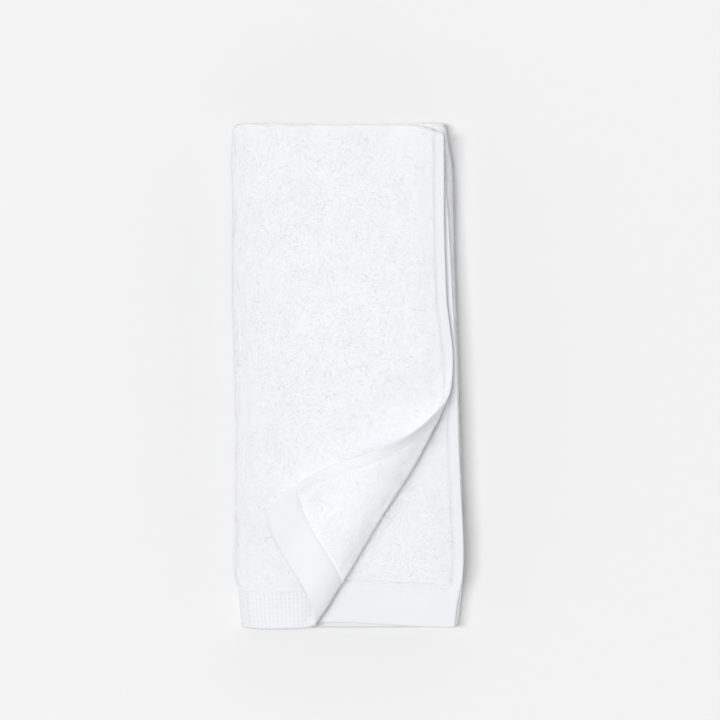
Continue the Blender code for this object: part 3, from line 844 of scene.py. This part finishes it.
def strands(start, first, second, end, radius, up):
    """Closed bent strands of yarn: from a start point over two rings to an end point.

    Each ring is a small polygon round the line between the two, at a first and second place.
    """
    axis = unit(second - first)
    across = unit(np.cross(axis, up))
    rise = np.cross(across, axis)
    sides = np.arange(STRAND_SIDES)
    angles = 2 * np.pi * (sides + 0.25) / STRAND_SIDES
    ring = (rise[:, None] * np.cos(angles)[None, :, None]
            + np.cross(axis, rise)[:, None] * np.sin(angles)[None, :, None])
    ring = ring * np.reshape(radius, (-1, 1, 1))
    points = np.concatenate([start[:, None], first[:, None] + ring, second[:, None] + ring,
                             end[:, None]], axis=1)
    this, following = 1 + sides, 1 + (sides + 1) % STRAND_SIDES
    ahead = this + STRAND_SIDES, following + STRAND_SIDES
    quads = np.stack([this, following, ahead[1], ahead[0]], axis=-1)
    head = np.stack([0 * sides, following, this], axis=-1)
    tail = np.stack([*ahead, 0 * sides + STRAND_POINTS - 1], axis=-1)
    base = STRAND_POINTS * np.arange(len(start))[:, None, None]
    quads, tips = base + quads, base + np.concatenate([head, tail])
    return points.reshape(-1, 3), [quads.reshape(-1, 4), tips.reshape(-1, 3)]


def loop_places(side):
    """Flat places of the loops that show on one side of the cloth.

    A staggered lattice of rows, each place moved a little at random, kept where loops stand
    free and where neither hem, border nor the turned corner covers them.
    """
    rng = np.random.default_rng(21 + side)
    first_s, last_s, first_t, last_t = LOOP_MARGINS
    s_line = np.arange(SIDE_HEM + first_s, WIDTH - SIDE_HEM - last_s, LOOP_SPACING)
    t_line = np.arange(UNDER_BORDER + first_t, LENGTH - TOP_BORDER - last_t, LOOP_SPACING)
    s, t = np.meshgrid(s_line, t_line)
    s[1::2] += LOOP_SPACING / 2
    s, t = s.ravel(), t.ravel()
    s += rng.uniform(-LOOP_STRAY, LOOP_STRAY, len(s)) * LOOP_SPACING
    t += rng.uniform(-LOOP_STRAY, LOOP_STRAY, len(t)) * LOOP_SPACING
    shown = shows_face(s, t) if side > 0 else shows_reverse(s, t)
    keep = shown > rng.uniform(*SHOWN_DRAW, len(s))
    s, t = s[keep], t[keep]
    if side > 0:
        up_side, along_end = corner_distances(s, t)
        past = past_turn(s, t)
        x, y, _ = cloth(s, t)
        gone = (past > GONE_PAST) & (up_side > COVERED) & (along_end > COVERED)
        gone |= (s > WIDTH - P3) & (past < 0) & under_turned_corner(x, y, COVERED)
        gone &= t > CROSS_MIDDLE
        s, t = s[~gone], t[~gone]
    return s, t


def make_loops(name, s, t, side, seed, material):
    """Terry loops at flat places: small arches of yarn that lean with the nap.

    The heading turns with a slow noise plus a free part, and the height and lean follow
    clumps a few loops wide. The shading directions are the loop's own, drawn most of the way
    towards the cloth's, and round the outer folds towards straight up, as light soaks through
    the pile there.
    """
    rng = np.random.default_rng(seed)
    count = len(s)
    middle, along_s, along_t, normal = cloth_frame(s, t)
    normal = normal * side

    def heading(noise, stray):
        """Ways along the cloth, turned by a slow noise and by a free part."""
        angle = np.pi * soft_noise(s, t, *noise) + rng.uniform(-stray, stray, count)
        return along_s * np.cos(angle)[:, None] + along_t * np.sin(angle)[:, None]

    way = unit(heading(HEADING_NOISE, HEADING_STRAY))
    clump = soft_noise(s, t, *CLUMP_NOISE) + PATCH_SHARE * soft_noise(s, t, *PATCH_NOISE)
    lean = heading(LEAN_NOISE, LEAN_STRAY) * rng.uniform(*LOOP_LEAN, count)[:, None]
    reach = LOOP_REACH - LOOP_YARN + CLUMP_REACH * clump + rng.uniform(*REACH_STRAY, count)
    beside = beside_roll(t, middle[:, 0], middle[:, 1]) if side < 0 else np.zeros(count)
    reach += BESIDE_REACH * beside
    span = LOOP_SPAN * rng.uniform(*SPAN_STRAY, count)
    radius = LOOP_YARN * rng.uniform(*YARN_STRAY, count)
    foot = normal * (TERRY_GROUND - LOOP_ROOT)
    tilt = rng.uniform(-LOOP_TILT, LOOP_TILT, count)[:, None] * normal
    half = way * (span / 2)[:, None]
    top = middle + normal * reach[:, None] + lean
    points, faces = strands(middle + foot - half * FOOT, top - half * SHOULDER + tilt,
                            top + half * SHOULDER - tilt, middle + foot + half * FOOT,
                            radius, normal)
    points[:, 2] = np.maximum(points[:, 2], FLOOR_CLEAR)
    own = points.reshape(count, STRAND_POINTS, 3)
    own = unit(own - own.mean(axis=1, keepdims=True)) * (1 - PILE_SOFT)
    # the pile's tone with its painted shade, brighter clumps and a random part
    tone = pile_tone(s, t, side) + CLUMP_BRIGHT * clump + rng.uniform(*TONE_STRAY, count)
    if side > 0:
        lift = PILE_LIFT * (t > HALF) * np.maximum(round_left(s), round_crest(t))
        # painted highlight where the face swells along the turned hem
        tone += SWELL_PAINTED_HIGHLIGHT * side_hem_swell(middle[:, 0], middle[:, 1]) / SWELL
    else:
        sideways = np.clip(1.0 - normal[:, 2], 0.0, 1.0)
        lift = np.maximum(PILE_LIFT * beside, ROLL_LIFT * sideways ** 2)
        # painted light in the slot beside the roll
        tone += SLOT_PAINTED_LIGHT * roll_side(s, t, middle[:, 0], middle[:, 1])
    lie = normal * (1 - lift[:, None]) + np.array((0.0, 0.0, 1.0)) * lift[:, None]
    if side < 0:
        _, to_side, to_end, _ = past_crease(s, t)
        lie = unit(lie + PUSHED * beside[:, None] * np.array((to_end, -to_side, 0.0)))
    soft = unit(own + lie[:, None] * PILE_SOFT).reshape(-1, 3)
    tone = np.repeat(np.clip(tone, 0.0, 1.0), STRAND_POINTS)
    return mesh_piece(name, points, faces, material, marks={"tone": tone}, normals=soft)


def make_pile(material):
    """The standing loops, parted by where they stand so that each piece stays light."""
    s, t = loop_places(1)
    on_top = s > WIDTH - P3
    back = t < (HALF + CROSS_TURN + LENGTH - BORDER) / 2
    left = s > P1 + RIGHT_TURN + P2 / 2
    parts = [
        ("terry_loops_top_back", s, t, on_top & back, 1, 51),
        ("terry_loops_top_front", s, t, on_top & ~back, 1, 52),
        ("terry_loops_left_fold", s, t, left & ~on_top, 1, 53),
        ("terry_loops_right_fold", s, t, ~left, 1, 54),
    ]
    s, t = loop_places(-1)
    turned = t > CROSS_MIDDLE
    parts += [
        ("terry_loops_turned_corner", s, t, turned, -1, 61),
        ("terry_loops_bared_layer", s, t, ~turned, -1, 62),
    ]
    return [make_loops(name, s[here], t[here], side, seed, material)
            for name, s, t, here, side, seed in parts]


def make_stitches(material):
    """Rows of lockstitches: on both sides of the side hems and of the end hems."""
    rng = np.random.default_rng(71)
    t_line = np.arange(STITCH_PITCH, LENGTH - STITCH_PITCH / 2, STITCH_PITCH)
    s_line = np.arange(SIDE_HEM + STITCH_PITCH / 2, WIDTH - SIDE_HEM, STITCH_PITCH)
    # each row: s, t, 1 where it runs across the cloth, and the side
    rows = [(at, t_line, 0.0) for at in (SIDE_STITCH, WIDTH - SIDE_STITCH)]
    rows += [(s_line, at, 1.0) for at in (UNDER_BORDER - END_STITCH_INSIDE,
                                          LENGTH - TOP_BORDER + END_STITCH_INSIDE)]
    rows = [np.array(np.broadcast_arrays(*row, side)) for side in (1.0, -1.0) for row in rows]
    places = np.concatenate(rows, axis=1)
    s, t, crosswise, side = places
    hidden = np.where(crosswise > 0, side > 0, side_stitch_shows(t, side) < 0.5)
    s, t, crosswise, side = places[:, ~hidden]
    middle, along_s, along_t, normal = cloth_frame(s, t)
    normal = normal * side[:, None]
    offset = np.where(side > 0, surface_offset(s, t, 1), surface_offset(s, t, -1))[:, None]
    way = np.where(crosswise[:, None] > 0, along_s, along_t)
    stray = rng.uniform(-STITCH_STRAY, STITCH_STRAY, (len(s), 1))
    way = unit(way + stray * np.cross(normal, way))
    base = middle + normal * (offset - THREAD)
    top = middle + normal * (offset + STITCH_PROUD * THREAD)
    half, flat = way * STITCH_LONG / 2, way * STITCH_LONG * STITCH_FLAT
    points, faces = strands(base - half, top - flat, top + flat, base + half,
                            np.full(len(s), THREAD), normal)
    return mesh_piece("hem_stitches", points, faces, material)


# ---- finishes

def put(tree, socket, value):
    """Set an input to a plain value, or link it to another node's output."""
    if isinstance(value, bpy.types.NodeSocket):
        tree.links.new(value, socket)
    else:
        socket.default_value = value


def add_node(tree, kind, settings=None, **inputs):
    """A shader node with some settings, and inputs that are set or linked, by their names."""
    node = tree.nodes.new(kind)
    for key, value in (settings or {}).items():
        setattr(node, key, value)
    for key, value in inputs.items():
        put(tree, node.inputs[key.replace("_", " ")], value)
    return node


def new_group(name, outputs, **numbers):
    """An empty shader node group: a Place and some numbers go in, and values come out."""
    group = bpy.data.node_groups.new(name, "ShaderNodeTree")
    group.interface.new_socket("Place", in_out="INPUT", socket_type="NodeSocketVector")
    for socket, value in numbers.items():
        item = group.interface.new_socket(socket, in_out="INPUT", socket_type="NodeSocketFloat")
        item.default_value = value
    for socket in outputs:
        group.interface.new_socket(socket, in_out="OUTPUT", socket_type="NodeSocketFloat")
    return group, group.nodes.new("NodeGroupInput"), group.nodes.new("NodeGroupOutput")


def math(tree, operation, *values):
    """A math node on sockets or plain numbers; returns its output."""
    node = add_node(tree, "ShaderNodeMath", {"operation": operation})
    for socket, value in zip(node.inputs, values):
        put(tree, socket, value)
    return node.outputs[0]


def mix(tree, share, first, second):
    """A colour from a first to a second one by a share; returns its output."""
    node = add_node(tree, "ShaderNodeMix", {"data_type": "RGBA"})
    for number, value in ((0, share), (6, first), (7, second)):
        put(tree, node.inputs[number], value)
    return node.outputs[2]


def mark(tree, name):
    """The output that reads one of the piece's own marks."""
    return add_node(tree, "ShaderNodeAttribute", {"attribute_name": name}).outputs["Fac"]


def fibre_group():
    """Cotton fibre: a fine fuzz for relief and a slow mottle for tone, both from 0 to 1."""
    group, source, out = new_group("cotton fibre", ("Relief", "Tone"), Fuzz=4000.0, Mottle=80.0)
    for scale, result, detail, roughness in (("Fuzz", "Relief", 3.0, 0.6),
                                             ("Mottle", "Tone", 4.0, 0.65)):
        noise = add_node(group, "ShaderNodeTexNoise", Vector=source.outputs["Place"],
                         Scale=source.outputs[scale], Detail=detail, Roughness=roughness)
        group.links.new(noise.outputs[0], out.inputs[result])
    return group


def weave_group():
    """Plain weave: over cells in a chequer, a warp or a weft thread with a round back."""
    group, source, out = new_group("plain weave", ("Relief",), Threads=1800.0)
    scaled = add_node(group, "ShaderNodeVectorMath", {"operation": "SCALE"},
                      Scale=source.outputs["Threads"])
    group.links.new(source.outputs["Place"], scaled.inputs[0])
    split = add_node(group, "ShaderNodeSeparateXYZ", Vector=scaled.outputs[0])
    across, along = split.outputs[0], split.outputs[1]
    cell = math(group, "ADD", math(group, "FLOOR", across), math(group, "FLOOR", along))
    odd = math(group, "PINGPONG", cell, 1.0)
    warp, weft = (math(group, "ABSOLUTE", math(group, "SINE", math(group, "MULTIPLY", way, np.pi)))
                  for way in (across, along))
    over = math(group, "MULTIPLY", warp, odd)
    under = math(group, "MULTIPLY", weft, math(group, "SUBTRACT", 1.0, odd))
    group.links.new(math(group, "ADD", over, under), out.inputs["Relief"])
    return group


# Whitest and dullest tone of the pile, the flat weave and the waffle, and the painted shade
# that the flat weave takes along its shaded lines
PILE_WHITE, PILE_SHADE = (0.942, 0.949, 0.983, 1.0), (0.712, 0.718, 0.745, 1.0)
FLAT_WHITE, FLAT_SHADE = (0.840, 0.846, 0.876, 1.0), (0.812, 0.818, 0.848, 1.0)
WAFFLE_WHITE, WAFFLE_SHADE = (0.904, 0.910, 0.944, 1.0), (0.670, 0.675, 0.702, 1.0)
PAINTED_SHADE_TONE = (0.640, 0.646, 0.672, 1.0)
# Scale of the fuzz, scale of the mottle, and height of the relief
FLAT_GRAIN, LOOP_GRAIN, THREAD_GRAIN = ((2600.0, 90.0, 0.00004), (5200.0, 70.0, 0.00002),
                                        (6500.0, 200.0, 0.00002))
MOTTLED = 0.25  # how far the mottle moves a piece's own tone
FUZZ_SHARE = 0.5  # height of the fuzz beside the weave
ROUGH = (0.86, 0.98)


def cotton_material(name, fibre, light, shade, grain, own_tone=False, weave=None):
    """White cotton: tone between shade and light by the mottle, fuzz and weave as relief.

    With a weave, the terry's ground is marked on the piece: it has the pile's own tone and no
    weave.
    """
    fuzz, mottle, relief = grain
    material = bpy.data.materials.new(name)
    material.use_nodes = True
    tree = material.node_tree
    shader = tree.nodes["Principled BSDF"]
    shader.inputs["Metallic"].default_value = 0.0
    shader.inputs["Sheen Weight"].default_value = 0.12
    shader.inputs["Sheen Roughness"].default_value = 0.55
    shader.inputs["Specular IOR Level"].default_value = 0.25
    where = add_node(tree, "ShaderNodeTexCoord").outputs
    fibres = add_node(tree, "ShaderNodeGroup", {"node_tree": fibre}, Place=where["Object"],
                      Fuzz=fuzz, Mottle=mottle).outputs
    tone, height = fibres["Tone"], fibres["Relief"]
    if own_tone:
        mottled = math(tree, "MULTIPLY", math(tree, "SUBTRACT", tone, 0.5), MOTTLED)
        tone = math(tree, "ADD", mark(tree, "tone"), mottled)
    colour = mix(tree, tone, shade, light)
    rough = add_node(tree, "ShaderNodeMapRange", Value=height, To_Min=ROUGH[0], To_Max=ROUGH[1])
    if weave is not None:
        threads = add_node(tree, "ShaderNodeGroup", {"node_tree": weave}, Place=where["UV"])
        terry = mark(tree, "terry")
        flat = math(tree, "SUBTRACT", 1.0, terry)
        woven = math(tree, "MULTIPLY", threads.outputs["Relief"], flat)
        height = math(tree, "ADD", math(tree, "MULTIPLY", height, FUZZ_SHARE), woven)
        # the flat weave goes over to painted shade by its mark
        flat_tone = mix(tree, mark(tree, "painted_shade"), colour, PAINTED_SHADE_TONE)
        pile_tones = mix(tree, mark(tree, "tone"), PILE_SHADE, PILE_WHITE)
        colour = mix(tree, terry, flat_tone, pile_tones)
    bump = add_node(tree, "ShaderNodeBump", Strength=1.0, Distance=relief, Height=height)
    tree.links.new(colour, shader.inputs["Base Color"])
    tree.links.new(rough.outputs[0], shader.inputs["Roughness"])
    tree.links.new(bump.outputs[0], shader.inputs["Normal"])
    return material


# ---- floor, light and camera

FLOOR_SIZE = 8.0
FLOOR_TONE = (0.82, 0.82, 0.82, 1.0)
SKY = 0.335  # overhead
GLOW = 1.45  # added at the level of the floor
GLOW_SPREAD = 3.0  # how fast the glow dies away upwards
GLOW_LEAN = 0.10  # how much stronger the glow is on the right than on the left
LAMP_AT = Vector((-7.10, 0.0, 20.0))
LAMP_SIZE = (11.0, 3.60)  # along X and Y: wide towards the left, narrow lengthwise
LAMP_POWER = 3050.0
CENTRE = (0.00975, 0.0120, 0.027)  # middle of the picture, at the towel's mean height
FRAME_WIDTH = 0.540  # width of the picture there
CAMERA_HEIGHT = 3.0
SENSOR = 36.0


def stand(name, data, location, turn=(0.0, 0.0, 0.0)):
    """The lamp or the camera, set up in its place."""
    holder = bpy.data.objects.new(name, data)
    holder.location = location
    holder.rotation_euler = turn
    bpy.context.scene.collection.objects.link(holder)
    return holder


def make_floor():
    """A plain pale floor."""
    bpy.ops.mesh.primitive_plane_add(size=FLOOR_SIZE)
    floor = bpy.context.object
    floor.name = "floor"
    material = bpy.data.materials.new("matt pale floor")
    material.use_nodes = True
    shader = material.node_tree.nodes["Principled BSDF"]
    shader.inputs["Base Color"].default_value = FLOOR_TONE
    shader.inputs["Roughness"].default_value = 0.95
    shader.inputs["Specular IOR Level"].default_value = 0.1
    floor.data.materials.append(material)


def make_lights():
    """A white surround, brighter low down than overhead, and one large soft lamp on the left."""
    world = bpy.data.worlds.new("studio surround")
    world.use_nodes = True
    tree = world.node_tree
    back = tree.nodes["Background"]
    back.inputs["Color"].default_value = (1.0, 1.0, 1.0, 1.0)
    where = add_node(tree, "ShaderNodeTexCoord")
    split = add_node(tree, "ShaderNodeSeparateXYZ", Vector=where.outputs["Generated"])
    low = math(tree, "POWER", math(tree, "SUBTRACT", 1.0, split.outputs[2]), GLOW_SPREAD)
    lean = math(tree, "ADD", math(tree, "MULTIPLY", split.outputs[0], GLOW_LEAN), 1.0)
    glow = math(tree, "MULTIPLY", math(tree, "MULTIPLY", low, lean), GLOW)
    tree.links.new(math(tree, "ADD", glow, SKY), back.inputs["Strength"])
    bpy.context.scene.world = world
    lamp = bpy.data.lights.new("soft lamp", "AREA")
    lamp.shape = "RECTANGLE"
    lamp.size, lamp.size_y = LAMP_SIZE
    lamp.energy = LAMP_POWER
    stand("soft lamp", lamp, LAMP_AT, (0.0, np.arctan2(LAMP_AT.x, LAMP_AT.z), 0.0))


def make_camera():
    """Straight down on the middle of the picture."""
    camera = bpy.data.cameras.new("camera")
    camera.sensor_width = SENSOR
    camera.lens = SENSOR * (CAMERA_HEIGHT - CENTRE[2]) / FRAME_WIDTH
    camera.clip_start = 0.05
    at = (CENTRE[0], CENTRE[1], CAMERA_HEIGHT)
    bpy.context.scene.camera = stand("camera", camera, at)


def main():
    """Stage, finishes, then the sheet with all that rides on it."""
    make_camera()
    make_floor()
    make_lights()
    bpy.context.scene.view_settings.view_transform = "Standard"
    fibre, weave = fibre_group(), weave_group()
    cloth_finish = cotton_material("flat woven cotton", fibre, FLAT_WHITE, FLAT_SHADE,
                                   FLAT_GRAIN, weave=weave)
    loop_finish = cotton_material("terry loop yarn", fibre, PILE_WHITE, PILE_SHADE,
                                  LOOP_GRAIN, own_tone=True)
    waffle_finish = cotton_material("waffle weave cotton", fibre, WAFFLE_WHITE, WAFFLE_SHADE,
                                    FLAT_GRAIN, own_tone=True)
    thread_finish = cotton_material("sewing thread", fibre, FLAT_WHITE, FLAT_SHADE,
                                    THREAD_GRAIN)
    sheet = make_sheet(cloth_finish)
    with_it = [make_waffle(*row, waffle_finish) for row in WAFFLE_PIECES]
    with_it += make_pile(loop_finish)
    with_it.append(make_stitches(thread_finish))
    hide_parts(NODE)


main()
